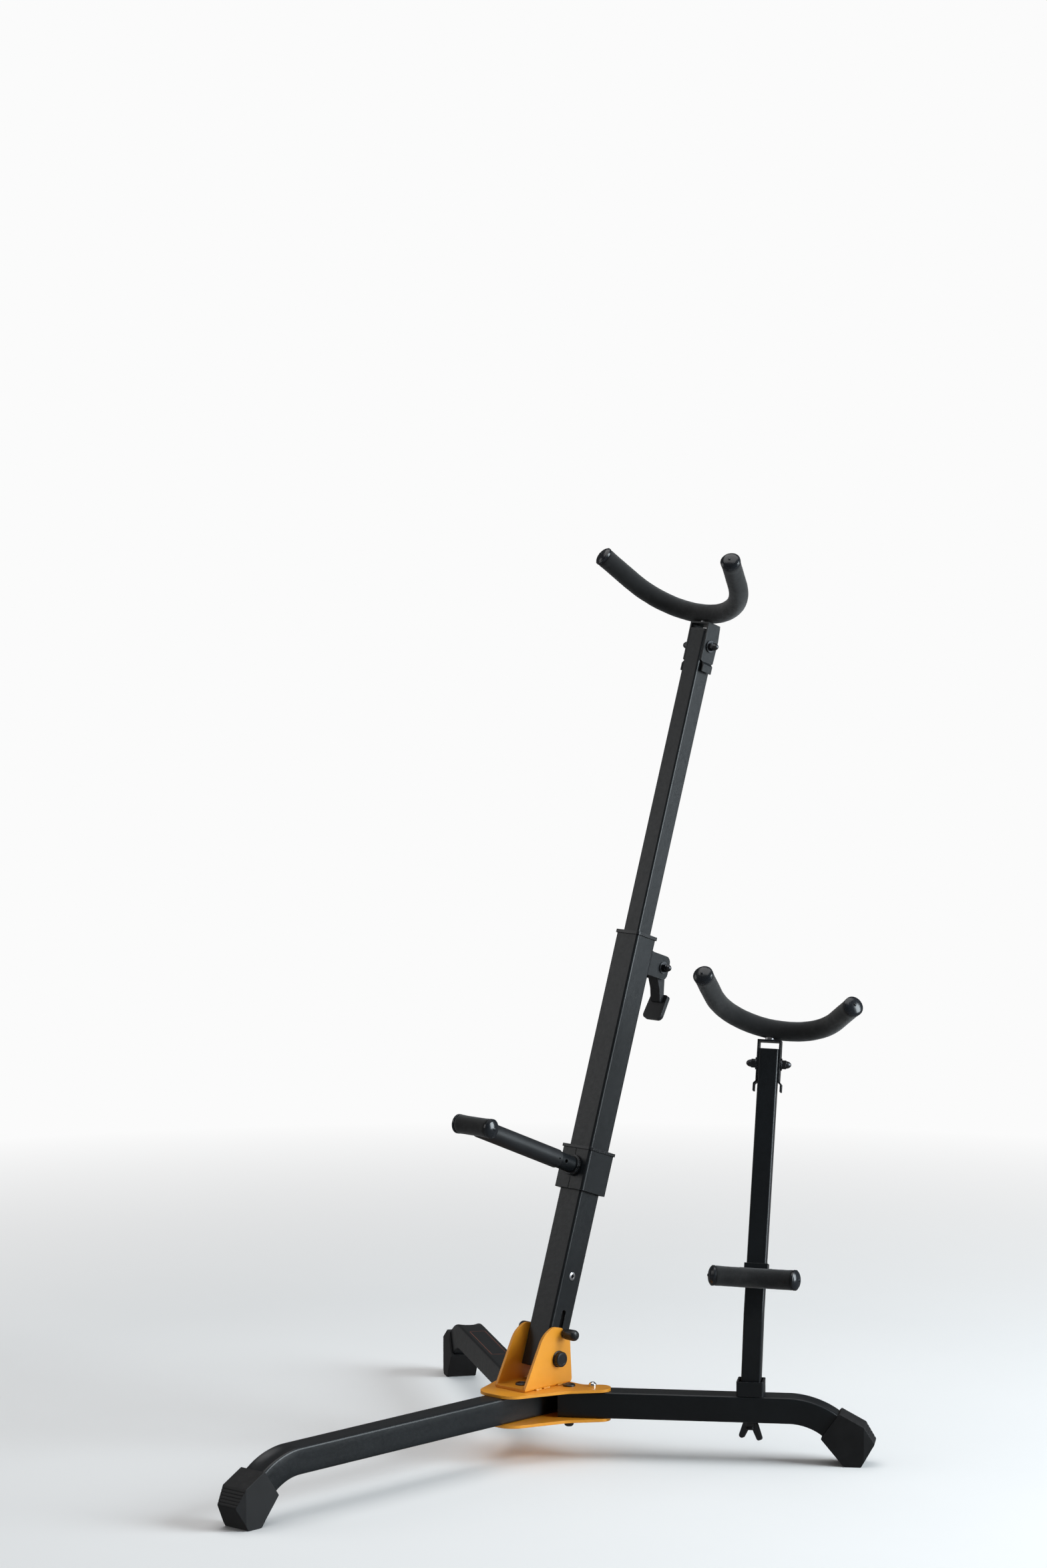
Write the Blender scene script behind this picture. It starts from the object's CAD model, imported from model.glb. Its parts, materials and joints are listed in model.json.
"""A folding three-legged stand with foam-padded yokes and cross-bars.

It stands on z = 0, +Z up. The front leg runs along -Y; the right (+X) and left (-X)
legs splay towards +Y. A leaning post carries the top yoke and an arm; a second holder
with a smaller yoke stands on the right leg. Sizes are in mm and degrees unless noted;
materials, stage, lights and camera are in metres.
"""
import bpy, bmesh, math, json, random
from mathutils import Vector, Matrix, noise


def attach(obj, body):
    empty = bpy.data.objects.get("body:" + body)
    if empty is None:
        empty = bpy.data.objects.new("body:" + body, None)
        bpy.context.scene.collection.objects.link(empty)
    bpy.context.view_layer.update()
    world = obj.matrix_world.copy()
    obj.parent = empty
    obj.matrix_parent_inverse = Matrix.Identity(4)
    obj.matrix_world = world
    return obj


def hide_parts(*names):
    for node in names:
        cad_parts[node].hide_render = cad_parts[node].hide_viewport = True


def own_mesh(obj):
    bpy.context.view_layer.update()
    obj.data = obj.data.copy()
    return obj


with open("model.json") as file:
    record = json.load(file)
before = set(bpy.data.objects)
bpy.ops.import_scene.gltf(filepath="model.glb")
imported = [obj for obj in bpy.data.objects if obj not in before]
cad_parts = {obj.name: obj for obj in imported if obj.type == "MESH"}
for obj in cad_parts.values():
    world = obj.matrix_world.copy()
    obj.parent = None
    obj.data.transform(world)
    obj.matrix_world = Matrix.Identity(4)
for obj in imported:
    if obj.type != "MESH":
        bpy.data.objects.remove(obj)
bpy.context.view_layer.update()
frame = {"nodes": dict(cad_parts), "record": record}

random.seed(7)
RECORD = frame["record"]
SCENE = bpy.context.scene
MM = 0.001
JOINTS = {joint["name"]: joint for joint in RECORD["behaviour"]["joints"]}

# ---------------------------------------------------------------- driving sizes
LEG_TOP, LEG_HEIGHT, LEG_WIDTH = 69.5, 27.5, 27.0
LEG_SPLAY = 55
ARM_TILT = 3.0
FOAM_RADIUS = 10.2
YOKE_HALF_ANGLE = 69.5    # half of the yoke's arc
YOKE_ARM = 39.0           # straight length past the arc
YOKE_RISE = 24.0          # slope of the yoke's plane


# ---------------------------------------------------------------- frames of the object
def shift(x, y, z):
    return Matrix.Translation(Vector((x, y, z)) * MM)


def turn(degrees, axis):
    return Matrix.Rotation(math.radians(degrees), 4, axis)


def point(place, x, y, z):
    """A point given in mm in the frame `place`, as world metres."""
    return place @ (Vector((x, y, z)) * MM)


def leg_frame(side, degrees):
    """Frame on the floor under a leg's hinge; the leg runs along its +Y."""
    x, y = JOINTS[side + "_leg_fold"]["pos_m"][:2]
    return Matrix.Translation(Vector((x, y, 0))) @ turn(degrees, "Z")


def leaning_frame(joint):
    """Frame at a joint, with its Z along the leaning post."""
    _, y, z = JOINTS["height_slide"]["axis"]
    lean = math.degrees(math.atan2(y, z))
    return Matrix.Translation(Vector(JOINTS[joint]["pos_m"])) @ turn(-lean, "X")


def yoke_plane(base, twist, tip):
    """Plane of a yoke's U: origin at the middle of its arc, +Y towards the open, raised end."""
    height = 22.5 + 2.1 + FOAM_RADIUS + 12.5 * math.sin(math.radians(tip))
    slope = turn(tip, "Y") @ turn(-YOKE_RISE, "X")
    return base @ shift(0, -1.5, height) @ slope @ turn(180, "Z") @ turn(twist, "Z")


POST = leaning_frame("post_fold")
YOKE = leaning_frame("yoke_flip")
ARM = POST @ shift(0, 0, 197) @ turn(90 - ARM_TILT, "X")
FRONT_LEG = shift(0, -18.5, 0) @ turn(180, "Z")
REAR_LEGS = {"right": leg_frame("right", -LEG_SPLAY), "left": leg_frame("left", LEG_SPLAY)}
HOLDER = REAR_LEGS["right"] @ shift(0, 188, LEG_TOP) @ turn(-2, "X")
HOLDER_UPPER = HOLDER @ shift(0, 0, 155 - LEG_TOP) @ turn(-14, "Y")
HOLDER_TOP = HOLDER_UPPER @ shift(0, 0, 254.8) @ turn(90, "Z")
HOLDER_BAR = HOLDER_UPPER @ shift(0, 0, 33.5)


# ---------------------------------------------------------------- shader nodes
class Nodes:
    """Builds one node tree; each input takes a number, an RGB tuple or a socket."""

    def __init__(self, tree):
        self.tree = tree

    def feed(self, node, inputs):
        for key, value in inputs.items():
            socket = node.inputs[key]
            if isinstance(value, bpy.types.NodeSocket):
                self.tree.links.new(value, socket)
            else:
                socket.default_value = value + (1,) if isinstance(value, tuple) else value

    def add(self, kind, inputs, **settings):
        node = self.tree.nodes.new("ShaderNode" + kind)
        for name, value in settings.items():
            setattr(node, name, value)
        self.feed(node, inputs)
        return node

    def mix_shader(self, factor, first, second):
        return self.add("MixShader", {0: factor, 1: first, 2: second}).outputs[0]


class Surface(Nodes):
    """A material with a Principled shader and object coordinates."""

    def __init__(self, name):
        self.material = bpy.data.materials.new(name)
        self.material.use_nodes = True
        super().__init__(self.material.node_tree)
        self.tree.nodes.clear()
        self.output = self.add("OutputMaterial", {})
        self.principled = self.add("BsdfPrincipled", {})
        self.feed(self.output, {0: self.principled.outputs[0]})
        self.coords = self.add("TexCoord", {}).outputs["Object"]

    def noise(self, scale, detail=4, roughness=0.55, vector=None):
        inputs = {"Scale": scale, "Detail": detail, "Roughness": roughness,
                  "Vector": vector or self.coords}
        return self.add("TexNoise", inputs).outputs["Fac"]

    def cells(self, scale):
        inputs = {"Scale": scale, "Vector": self.coords}
        return self.add("TexVoronoi", inputs).outputs["Distance"]

    def ramp(self, factor, low, high, first=0.0, last=1.0):
        """Blends from `first` at `low` to `last` at `high`; each is a grey or an RGB."""
        node = self.add("ValToRGB", {0: factor})
        for k, (position, value) in enumerate(((low, first), (high, last))):
            stop = node.color_ramp.elements[k]
            stop.position = position
            stop.color = (value if isinstance(value, tuple) else (value,) * 3) + (1,)
        return node.outputs[0]

    def math(self, operation, a, b, clamp=False):
        return self.add("Math", {0: a, 1: b}, operation=operation, use_clamp=clamp).outputs[0]

    def times(self, a, b, clamp=False):
        return self.math("MULTIPLY", a, b, clamp)

    def plus(self, a, b):
        return self.math("ADD", a, b)

    def mix(self, factor, a, b):
        return self.add("Mix", {0: factor, 6: a, 7: b}, data_type="RGBA").outputs[2]

    def bevel_normal(self, radius, samples=6):
        return self.add("Bevel", {0: radius}, samples=samples).outputs[0]

    def true_normal(self):
        return self.add("NewGeometry", {}).outputs["Normal"]

    def edge_mask(self, radius, low, high):
        """About 1 on sharp edges, 0 on flats: how far the rounded normal turns."""
        normals = {0: self.bevel_normal(radius, samples=4), 1: self.true_normal()}
        dot = self.add("VectorMath", normals, operation="DOT_PRODUCT").outputs["Value"]
        return self.ramp(dot, low, high, first=1.0, last=0.0)

    def dust_mask(self, up_from, scale, patch_low, patch_high, amount):
        """Patches on faces that look up; `up_from` is the normal's z where dust starts."""
        z = self.add("SeparateXYZ", {0: self.true_normal()}).outputs[2]
        up = self.ramp(z, up_from, 0.95)
        patches = self.noise(scale, detail=6, roughness=0.7)
        patches = self.ramp(patches, patch_low, patch_high)
        return self.times(self.times(up, patches), amount)

    def bump(self, height, distance, strength, normal=None):
        inputs = {"Strength": strength, "Distance": distance, "Height": height}
        if normal is not None:
            inputs["Normal"] = normal
        return self.add("Bump", inputs).outputs[0]

    def finish(self, inputs):
        self.feed(self.principled, inputs)
        return self.material


def shade(colour, gain, lift=0.0):
    return tuple(min(1, c * gain + lift) for c in colour)


# ---------------------------------------------------------------- materials
def powder(name, base, roughness, coat, dust, fleck=0.25, wear=(0.30, 0.30, 0.31),
           wear_amount=0.5, edge=0.0006, dark=0.75):
    """Powder coat: orange peel, fine grain, uneven gloss, rubbed edges and a little dust."""
    peel = 0.00006    # height of the orange peel
    s = Surface(name)
    cloud = s.ramp(s.noise(18, detail=3), 0.35, 0.68)
    ripple = s.noise(240, detail=3)
    grain = s.noise(1500, detail=2)
    flecks = s.ramp(s.noise(4200, detail=2), 0.56, 0.7)
    colour = s.mix(cloud, shade(base, dark), base)
    colour = s.mix(s.times(flecks, fleck), colour, shade(base, 1.8, lift=0.02))
    scratches = s.ramp(s.noise(700, detail=5, roughness=0.7), 0.52, 0.62)
    rubbed = s.times(s.edge_mask(edge, 0.90, 0.99), scratches)
    colour = s.mix(s.times(rubbed, wear_amount, clamp=True), colour, wear)
    dusty = s.dust_mask(up_from=0.55, scale=90, patch_low=0.42, patch_high=0.75, amount=dust)
    gloss = s.plus(s.times(ripple, 0.16), roughness - 0.08)
    normal = s.bump(ripple, distance=peel * 3, strength=0.5, normal=s.bevel_normal(edge))
    return s.finish({
        "Base Color": s.mix(dusty, colour, (0.3, 0.29, 0.28)),
        "Roughness": s.plus(gloss, s.times(dusty, 1.5)),
        "Specular IOR Level": 0.42,
        "Coat Weight": coat,
        "Coat Roughness": 0.25,
        "Normal": s.bump(grain, distance=peel, strength=0.7, normal=normal),
    })


def foam(name):
    """Closed-cell foam: two sizes of cell, uneven black, pale scuffs."""
    s = Surface(name)
    pores = s.ramp(s.cells(1500), 0.12, 0.42)
    large_pores = s.ramp(s.cells(620), 0.05, 0.22)
    black = s.ramp(s.noise(60), 0.3, 0.72,
                   first=(0.0035, 0.004, 0.0045), last=(0.008, 0.0085, 0.0095))
    colour = s.mix(pores, (0.006, 0.006, 0.006), black)
    scuffs = s.ramp(s.noise(35, detail=6, roughness=0.75), 0.5, 0.8)
    normal = s.bump(pores, distance=0.00012, strength=0.7)
    normal = s.bump(large_pores, distance=0.0002, strength=0.5, normal=normal)
    return s.finish({
        "Base Color": s.mix(s.times(scuffs, 0.12), colour, (0.14, 0.135, 0.13)),
        "Roughness": 0.86,
        "Specular IOR Level": 0.28,
        "Sheen Weight": 0.22,
        "Sheen Roughness": 0.5,
        "Normal": s.bump(s.noise(140), distance=0.0004, strength=0.5, normal=normal),
    })


def plastic(name, base, roughness, grain=900, depth=0.00005, edge=0.0004, specular=0.5,
            dust=0.05):
    """Moulded plastic: fine grain, paler edges, dust on top."""
    s = Surface(name)
    cloud = s.noise(60)
    colour = s.mix(s.ramp(cloud, 0.3, 0.7), shade(base, 0.8), shade(base, 1.15))
    edges = s.times(s.edge_mask(edge, 0.88, 0.99), 0.2)
    colour = s.mix(edges, colour, shade(base, 1.6, lift=0.05))
    dusty = s.dust_mask(up_from=0.4, scale=160, patch_low=0.45, patch_high=0.8, amount=dust)
    return s.finish({
        "Base Color": s.mix(dusty, colour, (0.32, 0.31, 0.30)),
        "Roughness": s.plus(s.times(cloud, 0.14), roughness - 0.07),
        "Specular IOR Level": specular,
        "Normal": s.bump(s.noise(grain, detail=3), distance=depth, strength=0.6,
                         normal=s.bevel_normal(edge)),
    })


def metal(name, base, roughness, brush=0.0, dirt=0.3):
    """Plated metal with patches of dirt; `brush` is the height of its fine grain."""
    s = Surface(name)
    mapped = s.add("Mapping", {0: s.coords}).outputs[0]
    grain = s.noise(1800, detail=4, roughness=0.7, vector=mapped)
    patches = s.ramp(s.noise(120, detail=5, roughness=0.65), 0.45, 0.8)
    normal = s.bevel_normal(0.0003)
    if brush:
        normal = s.bump(grain, distance=brush, strength=0.5, normal=normal)
    return s.finish({
        "Base Color": s.mix(s.times(patches, dirt), base, (0.12, 0.11, 0.10)),
        "Metallic": 1.0,
        "Roughness": s.plus(s.times(grain, 0.2), roughness - 0.1),
        "Normal": normal,
    })


MATERIALS = {
    "black_coat": powder("black_powder_coat", (0.0055, 0.0075, 0.0095), roughness=0.36,
                         coat=0.05, dust=0.012),
    "orange_coat": powder("orange_powder_coat", (0.84, 0.335, 0.022), roughness=0.38,
                          coat=0.12, dust=0.03, fleck=0.12, wear=(0.42, 0.18, 0.03),
                          wear_amount=0.55, edge=0.0007, dark=0.88),
    "black_zinc": metal("black_zinc", (0.085, 0.088, 0.095), roughness=0.36, brush=0.00002),
    "bright_steel": metal("zinc_steel", (0.60, 0.60, 0.62), roughness=0.32, brush=0.00002,
                          dirt=0.25),
    "chrome": metal("chrome_plate", (0.86, 0.86, 0.88), roughness=0.13, dirt=0.05),
    "black_plastic": plastic("black_plastic", (0.010, 0.011, 0.013), roughness=0.34),
    "white_nylon": plastic("natural_nylon", (0.70, 0.68, 0.62), roughness=0.48, specular=0.4),
    "black_rubber": plastic("boot_rubber", (0.009, 0.009, 0.010), roughness=0.55, grain=1400,
                            depth=0.00009, edge=0.0009, specular=0.35),
    "black_foam": foam("closed_cell_foam"),
}
CAP_MATERIAL = plastic("gloss_cap", (0.010, 0.012, 0.015), roughness=0.22, grain=500,
                       depth=0.00003, edge=0.0005)
ARM_MATERIAL = plastic("arm_satin", (0.009, 0.010, 0.012), roughness=0.46, grain=1100,
                       depth=0.00008, edge=0.0005)


def split_edges(ob, degrees):
    """Keeps edges sharper than the angle crisp under smooth shading."""
    split = ob.modifiers.new("edges", "EDGE_SPLIT")
    split.split_angle = math.radians(degrees)
    split.use_edge_sharp = False


def dress_cad_pieces():
    slots = {part["node"]: part["material_slot"] for part in RECORD["subparts"]}
    for name, ob in frame["nodes"].items():
        material = MATERIALS[slots[name]]
        if name.endswith("_caps"):
            material = CAP_MATERIAL
        if name == "arm_tube":
            material = ARM_MATERIAL
        ob.data.materials.clear()
        ob.data.materials.append(material)
        for face in ob.data.polygons:
            face.use_smooth = True
        split_edges(ob, 28)


dress_cad_pieces()


# ---------------------------------------------------------------- mesh helpers
def mesh_object(name, bm):
    mesh = bpy.data.meshes.new(name)
    bm.to_mesh(mesh)
    bm.free()
    ob = bpy.data.objects.new(name, mesh)
    SCENE.collection.objects.link(ob)
    return ob


def make(name, bm, body, slot, node=None, material=None, smooth=True, split=None):
    """Object that rides `body`, and stands in for the CAD piece `node` if one is given."""
    bmesh.ops.recalc_face_normals(bm, faces=bm.faces)
    ob = mesh_object(name, bm)
    for face in ob.data.polygons:
        face.use_smooth = smooth
    ob.data.materials.append(material or MATERIALS[slot])
    if split:
        split_edges(ob, split)
    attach(ob, body)
    if node:
        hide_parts(node)
    return ob


def bridge(bm, ring, next_ring):
    count = len(ring)
    for k in range(count):
        n = (k + 1) % count
        bm.faces.new((ring[k], ring[n], next_ring[n], next_ring[k]))


def skin(bm, rings):
    """Joins the rings in order and closes both ends."""
    for ring, next_ring in zip(rings, rings[1:]):
        bridge(bm, ring, next_ring)
    bm.faces.new(rings[0][::-1])
    bm.faces.new(rings[-1])


def sweep(path, radii, segments, wobble=0.0, seed=0.0):
    """Tube along a path in metres, its rings carried along without twist."""
    bm = bmesh.new()
    last = len(path) - 1
    tangents = [(path[min(last, i + 1)] - path[max(0, i - 1)]).normalized()
                for i in range(last + 1)]
    across = Vector((0, 0, 1))
    if abs(tangents[0].dot(across)) > 0.9:
        across = Vector((1, 0, 0))
    across = (across - tangents[0] * across.dot(tangents[0])).normalized()
    rings = []
    for centre, tangent, radius in zip(path, tangents, radii):
        across = (across - tangent * across.dot(tangent)).normalized()
        other = tangent.cross(across)
        ring = []
        for k in range(segments):
            angle = 2 * math.pi * k / segments
            outward = across * math.cos(angle) + other * math.sin(angle)
            place = centre + outward * radius
            if wobble:
                coarse = noise.noise((place + Vector((seed, 0, 0))) * 70)
                fine = noise.noise((place + Vector((0, seed, 0))) * 210)
                place = place + outward * wobble * (coarse + 0.6 * fine)
            ring.append(bm.verts.new(place))
        rings.append(ring)
    skin(bm, rings)
    return bm


def corner_arcs(x0, x1, y0, y1, corner, radius):
    """Four quarter arcs, counter-clockwise, centred `corner` in from a rectangle's sides."""
    arcs = []
    for x, y, start in ((x1 - corner, y1 - corner, 0), (x0 + corner, y1 - corner, 90),
                        (x0 + corner, y0 + corner, 180), (x1 - corner, y0 + corner, 270)):
        angles = [math.radians(start + 15 * k) for k in range(7)]
        arcs.append([(x + radius * math.cos(a), y + radius * math.sin(a)) for a in angles])
    return arcs


# ---------------------------------------------------------------- foam sleeves
FOAM_STEP = 0.9           # spacing of the rings
FOAM_INSET = 0.05         # sleeve's radius below the nominal one
ARM_FOAM_RADIUS = 9.6
ARM_BAR_HALF, ARM_BAR_Z, ARM_BAR_RINGS = 20.9, 178, 46
BAR_RADIUS, BAR_HALF_ANGLE, BAR_RINGS = 140.0, 17.0 - 0.05, 94
BAR_CENTRE_X = 10 + 1.9 + FOAM_RADIUS + BAR_RADIUS


def foam_sleeve(name, node, body, path, radius, wobble, seed):
    """Foam tube, pulled in at both ends and slightly swollen just behind them."""
    radii = []
    for i in range(len(path)):
        inward = min(i, len(path) - 1 - i) * FOAM_STEP
        pull = 0.66 * max(0.0, 1 - inward / 1.6) ** 2
        swell = 0.18 * math.exp(-((inward - 3.2) / 2.4) ** 2)
        radii.append((radius - FOAM_INSET - pull + swell) * MM)
    bm = sweep(path, radii, segments=72, wobble=wobble, seed=seed)
    make(name, bm, body, "black_foam", node=node)


def yoke_path(radius, plane):
    """U of an arc with a straight arm at each end, from -X to +X."""
    half = math.radians(YOKE_HALF_ANGLE)
    length = YOKE_ARM - 0.1
    end = Vector((radius * math.sin(half), radius - radius * math.cos(half), 0))
    along = Vector((math.cos(half), math.sin(half), 0))
    steps = int(length / FOAM_STEP)
    right = [end + along * (length * i / steps) for i in range(1, steps + 1)]
    left = [Vector((-p.x, p.y, 0)) for p in right][::-1]
    steps = int(2 * half * radius / FOAM_STEP)
    angles = [-half + 2 * half * i / steps for i in range(steps + 1)]
    arc = [Vector((radius * math.sin(a), radius - radius * math.cos(a), 0)) for a in angles]
    return [plane @ (p * MM) for p in left + arc + right]


def arm_bar_path():
    return [point(ARM, -ARM_BAR_HALF + 2 * ARM_BAR_HALF * i / (ARM_BAR_RINGS - 1), 0, ARM_BAR_Z)
            for i in range(ARM_BAR_RINGS)]


def holder_bar_path():
    """Shallow arc that bows towards the holder's tube."""
    path = []
    for i in range(BAR_RINGS):
        angle = math.radians(180 - BAR_HALF_ANGLE + 2 * BAR_HALF_ANGLE * i / (BAR_RINGS - 1))
        path.append(point(HOLDER_BAR, BAR_CENTRE_X + BAR_RADIUS * math.cos(angle),
                          BAR_RADIUS * math.sin(angle), 0))
    return path


foam_sleeve("top_yoke_foam", "yoke_foam", "yoke",
            yoke_path(79, yoke_plane(YOKE, twist=0, tip=0)),
            FOAM_RADIUS, wobble=0.00016, seed=79)
foam_sleeve("small_yoke_foam", "holder_yoke_foam", "holder_yoke",
            yoke_path(68, yoke_plane(HOLDER_TOP, twist=5.5, tip=6)),
            FOAM_RADIUS, wobble=0.00016, seed=68)
foam_sleeve("arm_bar_sleeve", "arm_bar_foam", "arm", arm_bar_path(),
            ARM_FOAM_RADIUS, wobble=0.00012, seed=3)
foam_sleeve("holder_bar_sleeve", "holder_bar_foam", "holder", holder_bar_path(),
            FOAM_RADIUS, wobble=0.00016, seed=9)

# ---------------------------------------------------------------- legs
WALL = 2
BEND_RADIUS, BEND_ANGLE = 74.0, 36.0
FOOT_LENGTH = 30          # straight part past the bend
STRAIGHT_STEPS, BEND_STEPS, FOOT_STEPS = 40, 36, 6
LEG_MIDDLE = LEG_TOP - LEG_HEIGHT / 2


def section(width, height, corner):
    """Rounded rectangle, counter-clockwise, as (x, height), with points along its flats."""
    arcs = corner_arcs(-width / 2, width / 2, -height / 2, height / 2, corner, corner)
    outline = []
    for i, steps in enumerate((10, 4, 10, 4)):
        (x0, z0), (x1, z1) = arcs[i][-1], arcs[(i + 1) % 4][0]
        outline += arcs[i]
        outline += [(x0 + (x1 - x0) * k / steps, z0 + (z1 - z0) * k / steps)
                    for k in range(1, steps)]
    return outline


def leg_stations(inner_end, length):
    """Stations as (y, z, downward slope in radians, how far the bend is drawn in, 0 to 1)."""
    stations = [(-inner_end + (length + inner_end) * i / STRAIGHT_STEPS, LEG_MIDDLE, 0.0, 0.0)
                for i in range(STRAIGHT_STEPS + 1)]
    for i in range(1, BEND_STEPS + 1):
        part = i / BEND_STEPS
        slope = math.radians(BEND_ANGLE * part)
        draw = max(0.0, math.sin(math.pi * 1.04 * part)) ** 1.3
        stations.append((length + BEND_RADIUS * math.sin(slope),
                         LEG_MIDDLE - BEND_RADIUS + BEND_RADIUS * math.cos(slope), slope, draw))
    y, z, slope, _ = stations[-1]
    for i in range(1, FOOT_STEPS + 1):
        run = FOOT_LENGTH * i / FOOT_STEPS
        stations.append((y + run * math.cos(slope), z - run * math.sin(slope), slope, 0.0))
    return stations


def draw_in(x, height, draw):
    """Sinks the top, lifts the underside a little and swells the sides."""
    middle = max(0.0, math.cos(math.pi * x / (LEG_WIDTH * 1.02))) ** 1.5
    level = height / (LEG_HEIGHT / 2)
    sink = 2.6 * max(0.0, level) ** 3
    lift = 0.7 * max(0.0, -level) ** 3
    swell = 0.45 * draw * max(0.0, 1 - level ** 2) * min(1, abs(x) / 13)
    return x + math.copysign(swell, x), height + draw * middle * (lift - sink)


def leg_tube(name, node, body, place, length, thinner=0.0, inner_end=10.0):
    """Square tube, level and then bent down to the foot."""
    height = LEG_HEIGHT - thinner
    outlines = (section(LEG_WIDTH, height, 2.6),
                section(LEG_WIDTH - 2 * WALL, height - 2 * WALL, 0.7))
    bm = bmesh.new()
    outer, inner = [], []
    for y, z, slope, draw in leg_stations(inner_end, length):
        for rings, outline in zip((outer, inner), outlines):
            ring = []
            for corner in outline:
                x, h = draw_in(*corner, draw)
                ring.append(bm.verts.new(point(place, x, y + h * math.sin(slope),
                                               z + h * math.cos(slope))))
            rings.append(ring)
    for ring, next_ring in zip(outer, outer[1:]):
        bridge(bm, ring, next_ring)
    for ring, next_ring in zip(inner, inner[1:]):
        bridge(bm, next_ring, ring)
    for end in (0, -1):
        bridge(bm, outer[end], inner[end])
    make(name, bm, body, "black_coat", node=node, split=40)


leg_tube("front_leg_tube", "front_leg", "base", FRONT_LEG, length=330, inner_end=44.5)
for side, length in (("right", 227), ("left", 280)):
    leg = side + "_leg"
    leg_tube(leg + "_tube", leg, leg, REAR_LEGS[side], length=length, thinner=0.1)


# ---------------------------------------------------------------- left leg's panel outline
def panel_outline():
    """Thin rounded frame let into the left leg's top face."""
    corner, line = 2.0, 0.7
    low, high = LEG_TOP - 0.04, LEG_TOP
    outside, inside = (sum(corner_arcs(-8.8, 8.6, 128, 248, corner, radius), [])
                       for radius in (corner, corner - line))
    bm = bmesh.new()
    rings = [[bm.verts.new(point(REAR_LEGS["left"], x, y, z)) for x, y in loop]
             for loop, z in ((outside, low), (outside, high), (inside, high), (inside, low))]
    for k in range(4):
        bridge(bm, rings[k], rings[(k + 1) % 4])
    printed = plastic("printed_panel", (0.17, 0.055, 0.035), roughness=0.55, grain=2200,
                      depth=0.00002, edge=0.0001, specular=0.3, dust=0.15)
    make("left_leg_panel_outline", bm, "left_leg", "black_coat", material=printed, smooth=False)


panel_outline()

# ---------------------------------------------------------------- bracket welds
WELDS = ((-16, 8), (-4, 8.5), (17, 8))    # (middle y, length), on both sides in x
BEADS = 5
WELD_FLOOR, WELD_WALL = 72.52, 20.2       # beads are cut flat at this z and this |x|


def weld_bead(bm, centre, radius, side, noise_offset):
    """Lumpy ball, made in its own bmesh and then added to `bm`."""
    ball = bmesh.new()
    bmesh.ops.create_icosphere(ball, subdivisions=3, radius=1)
    for v in ball.verts:
        lump = 1 + 0.10 * noise.noise(v.co * 2.2 + noise_offset)
        stretched = Vector((v.co.x * 0.95, v.co.y * 1.05, v.co.z)) * radius
        place = centre + stretched * lump
        place.z = max(place.z, WELD_FLOOR)
        place.x = side * max(abs(place.x), WELD_WALL)
        v.co = place * MM
    mesh = bpy.data.meshes.new("bead")
    ball.to_mesh(mesh)
    ball.free()
    bm.from_mesh(mesh)
    bpy.data.meshes.remove(mesh)


def bracket_welds():
    bm = bmesh.new()
    for side in (1, -1):
        for j, (middle, length) in enumerate(WELDS):
            rng = random.Random(11 * j + (5 if side > 0 else 2))
            for bead in range(BEADS):
                y = middle - length / 2 + length * (bead + 0.5) / BEADS
                radius = 1.75 + rng.uniform(-0.25, 0.3)
                z = 72.55 + rng.uniform(-0.05, 0.2)
                x = side * (21.15 + rng.uniform(-0.1, 0.15))
                weld_bead(bm, Vector((x, y, z)), radius, side,
                          Vector((bead * 3.1, j * 5.3, side)))
    bmesh.ops.dissolve_degenerate(bm, dist=1e-6, edges=bm.edges)
    make("bracket_weld_beads", bm, "base", "orange_coat", node="bracket_welds")


bracket_welds()


# ---------------------------------------------------------------- spring above the lock pin
def pin_spring():
    bottom, top = 29.9, 81.7
    radius, wire_radius = 2.9, 0.5
    turns, steps_per_turn = 12, 40
    steps = turns * steps_per_turn
    path = []
    for i in range(steps + 1):
        angle = 2 * math.pi * turns * i / steps
        path.append(point(POST, radius * math.cos(angle), radius * math.sin(angle),
                          bottom + (top - bottom) * i / steps))
    bm = sweep(path, [wire_radius * MM] * len(path), segments=12)
    ob = make("pin_spring", bm, "post", "bright_steel", node="lock_spring")
    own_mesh(ob)


pin_spring()

# ---------------------------------------------------------------- snap clips
BUTTON_Y, BUTTON_RADIUS, BUTTON_SEGMENTS = 24.5, 4.0, 48
BUTTON_BOTTOM, BUTTON_SHOULDER, BUTTON_DOME = 64.1, 74.2, 3.4
STRIP_HALF_WIDTH, STRIP_HALF_THICKNESS = 4, 0.4
# Strip's centre line in the leg's frame, as (y, z): upper run, round end, lower run.
STRIP = [(19.5, 64.0), (24.5, 64.0), (34, 63.9), (46, 63.2), (54, 61.6)]
STRIP += [(60.5 + 9.2 * math.sin(math.radians(a)), 54.4 + 8.8 * math.cos(math.radians(a)))
          for a in range(-20, 201, 10)]
STRIP += [(54, 46.4), (46, 44.9), (34, 44.6), (19.5, 44.6)]


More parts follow.
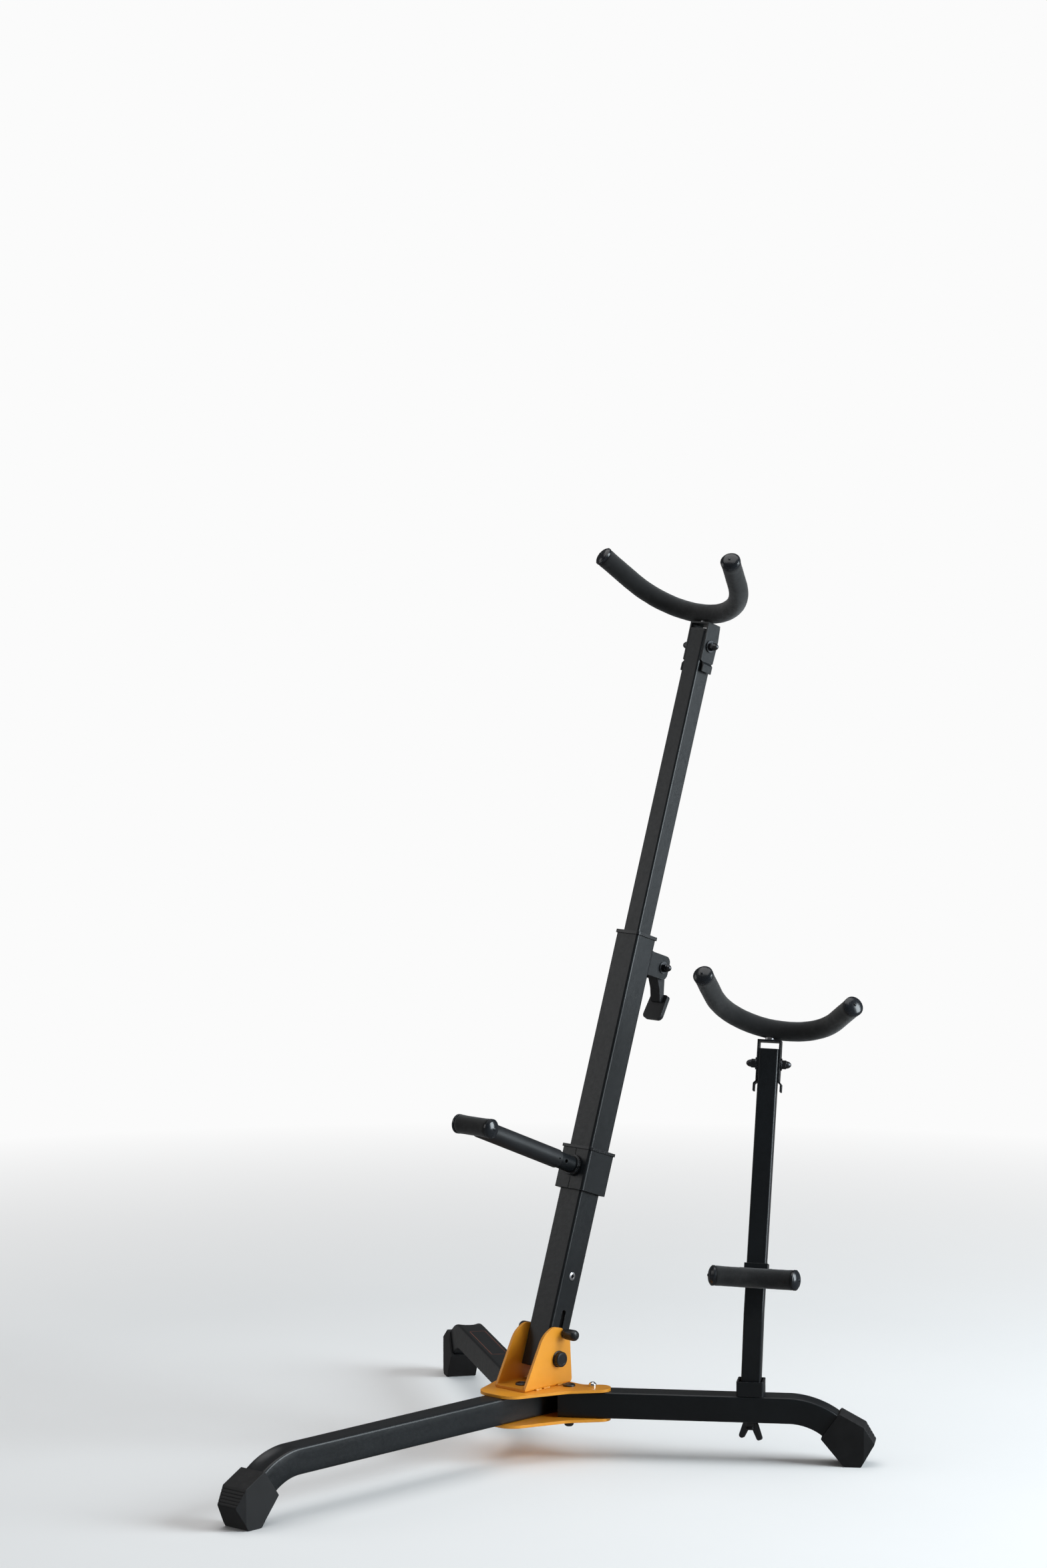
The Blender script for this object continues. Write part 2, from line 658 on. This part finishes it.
def clip_button(place):
    """Upright pin with a domed top."""
    profile = [(BUTTON_RADIUS, BUTTON_BOTTOM), (BUTTON_RADIUS, BUTTON_SHOULDER)]
    profile += [(BUTTON_RADIUS * math.cos(math.radians(a)),
                 BUTTON_SHOULDER + BUTTON_DOME * math.sin(math.radians(a)))
                for a in range(8, 90, 8)]
    bm = bmesh.new()
    bottom = bm.verts.new(point(place, 0, BUTTON_Y, BUTTON_BOTTOM))
    angles = [2 * math.pi * k / BUTTON_SEGMENTS for k in range(BUTTON_SEGMENTS)]
    rings = [[bm.verts.new(point(place, r * math.cos(a), BUTTON_Y + r * math.sin(a), z))
              for a in angles] for r, z in profile]
    top = bm.verts.new(point(place, 0, BUTTON_Y, BUTTON_SHOULDER + BUTTON_DOME))
    for k in range(BUTTON_SEGMENTS):
        bm.faces.new((bottom, rings[0][k], rings[0][(k + 1) % BUTTON_SEGMENTS]))
    for ring, next_ring in zip(rings, rings[1:]):
        bridge(bm, ring, next_ring)
    for k in range(BUTTON_SEGMENTS):
        bm.faces.new((rings[-1][k], top, rings[-1][(k + 1) % BUTTON_SEGMENTS]))
    return bm


def clip_strip(place):
    """Flat band bent into a V with a round end."""
    bm = bmesh.new()
    wide = STRIP_HALF_WIDTH
    rings = []
    for i, (y, z) in enumerate(STRIP):
        y0, z0 = STRIP[max(0, i - 1)]
        y1, z1 = STRIP[min(len(STRIP) - 1, i + 1)]
        scale = STRIP_HALF_THICKNESS / math.hypot(y1 - y0, z1 - z0)
        dy, dz = -(z1 - z0) * scale, (y1 - y0) * scale
        corners = ((-wide, y + dy, z + dz), (wide, y + dy, z + dz),
                   (wide, y - dy, z - dz), (-wide, y - dy, z - dz))
        rings.append([bm.verts.new(point(place, *corner)) for corner in corners])
    skin(bm, rings)
    return bm


for side, place in REAR_LEGS.items():
    lock = side + "_leg_lock"
    button = make(side + "_button", clip_button(place), lock, "chrome", split=35)
    strip = make(side + "_clip_strip", clip_strip(place), side + "_leg", "bright_steel",
                 split=35)
    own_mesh(strip)
    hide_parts(lock)
    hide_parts(lock)

# ---------------------------------------------------------------- stage
BACKDROP = 0.965          # white seen by the camera, on the far floor and in the world
WHITE = (1, 1, 1)


def floor_paper():
    """Pale paper that fades to the backdrop far away and looks dim in reflections."""
    s = Surface("floor_paper")
    s.finish({
        "Base Color": s.mix(s.noise(3, detail=3), (0.90, 0.90, 0.90), (0.93, 0.93, 0.93)),
        "Roughness": 0.75,
        "Specular IOR Level": 0.2,
    })
    rays = s.add("LightPath", {}).outputs
    distance = s.add("VectorMath", {0: s.coords}, operation="LENGTH").outputs["Value"]
    fade = s.ramp(s.times(distance, 0.25), 0.20, 0.52)
    backdrop = s.add("Emission", {0: WHITE, 1: BACKDROP}).outputs[0]
    reflected = s.add("Emission", {0: WHITE, 1: 0.16}).outputs[0]
    seen = s.mix_shader(s.times(fade, rays["Is Camera Ray"]), s.principled.outputs[0], backdrop)
    s.feed(s.output, {0: s.mix_shader(rays["Is Glossy Ray"], seen, reflected)})
    return s.material


def add_floor():
    half = 45.0
    bm = bmesh.new()
    bm.faces.new([bm.verts.new((x * half, y * half, 0))
                  for x, y in ((-1, -1), (1, -1), (1, 1), (-1, 1))])
    floor = mesh_object("floor", bm)
    floor.data.materials.append(floor_paper())


def add_world():
    """Dim white light, with the brighter backdrop for the camera only."""
    world = bpy.data.worlds.new("studio")
    SCENE.world = world
    world.use_nodes = True
    nodes = Nodes(world.node_tree)
    light = nodes.tree.nodes["Background"]
    nodes.feed(light, {0: WHITE, 1: 0.09})
    backdrop = nodes.add("Background", {0: WHITE, 1: BACKDROP})
    camera_ray = nodes.add("LightPath", {}).outputs["Is Camera Ray"]
    mixed = nodes.mix_shader(camera_ray, light.outputs[0], backdrop.outputs[0])
    nodes.feed(nodes.tree.nodes["World Output"], {0: mixed})


def area(name, location, size, power, size_y=None, colour=WHITE):
    """Area light aimed at the middle of the stand and hidden from the camera."""
    light = bpy.data.lights.new(name, "AREA")
    light.energy = power
    light.size = size
    if size_y:
        light.shape = "RECTANGLE"
        light.size_y = size_y
    light.color = colour
    ob = bpy.data.objects.new(name, light)
    SCENE.collection.objects.link(ob)
    ob.location = location
    aim = Vector((0, 0.05, 0.42)) - Vector(location)
    ob.rotation_euler = aim.to_track_quat("-Z", "Y").to_euler()
    ob.visible_camera = False


def add_camera():
    data = bpy.data.cameras.new("camera")
    camera = bpy.data.objects.new("camera", data)
    SCENE.collection.objects.link(camera)
    right = Vector((0.732849, 0.680391, -0.000634))
    up = Vector((-0.063881, 0.069733, 0.995518))
    forward = Vector((-0.677386, 0.729524, -0.094568))
    rotation = Matrix((right, up, -forward)).transposed().to_4x4()
    camera.matrix_world = Matrix.Translation(Vector((3.28904, -3.55732, 1.15496))) @ rotation
    data.sensor_fit = "HORIZONTAL"
    data.sensor_width = 36
    data.lens = 164.139796
    data.clip_end = 50
    SCENE.camera = camera


add_floor()
add_world()
area("key_right", (2.5, 1.3, 1.2), size=1.5, power=118, size_y=2.2, colour=(0.86, 0.95, 1.0))
area("top", (-0.2, 0.0, 3.0), size=3.0, power=50)
area("fill_left", (-2.2, -1.6, 1.4), size=1.4, power=9)
add_camera()
SCENE.view_settings.view_transform = "Standard"
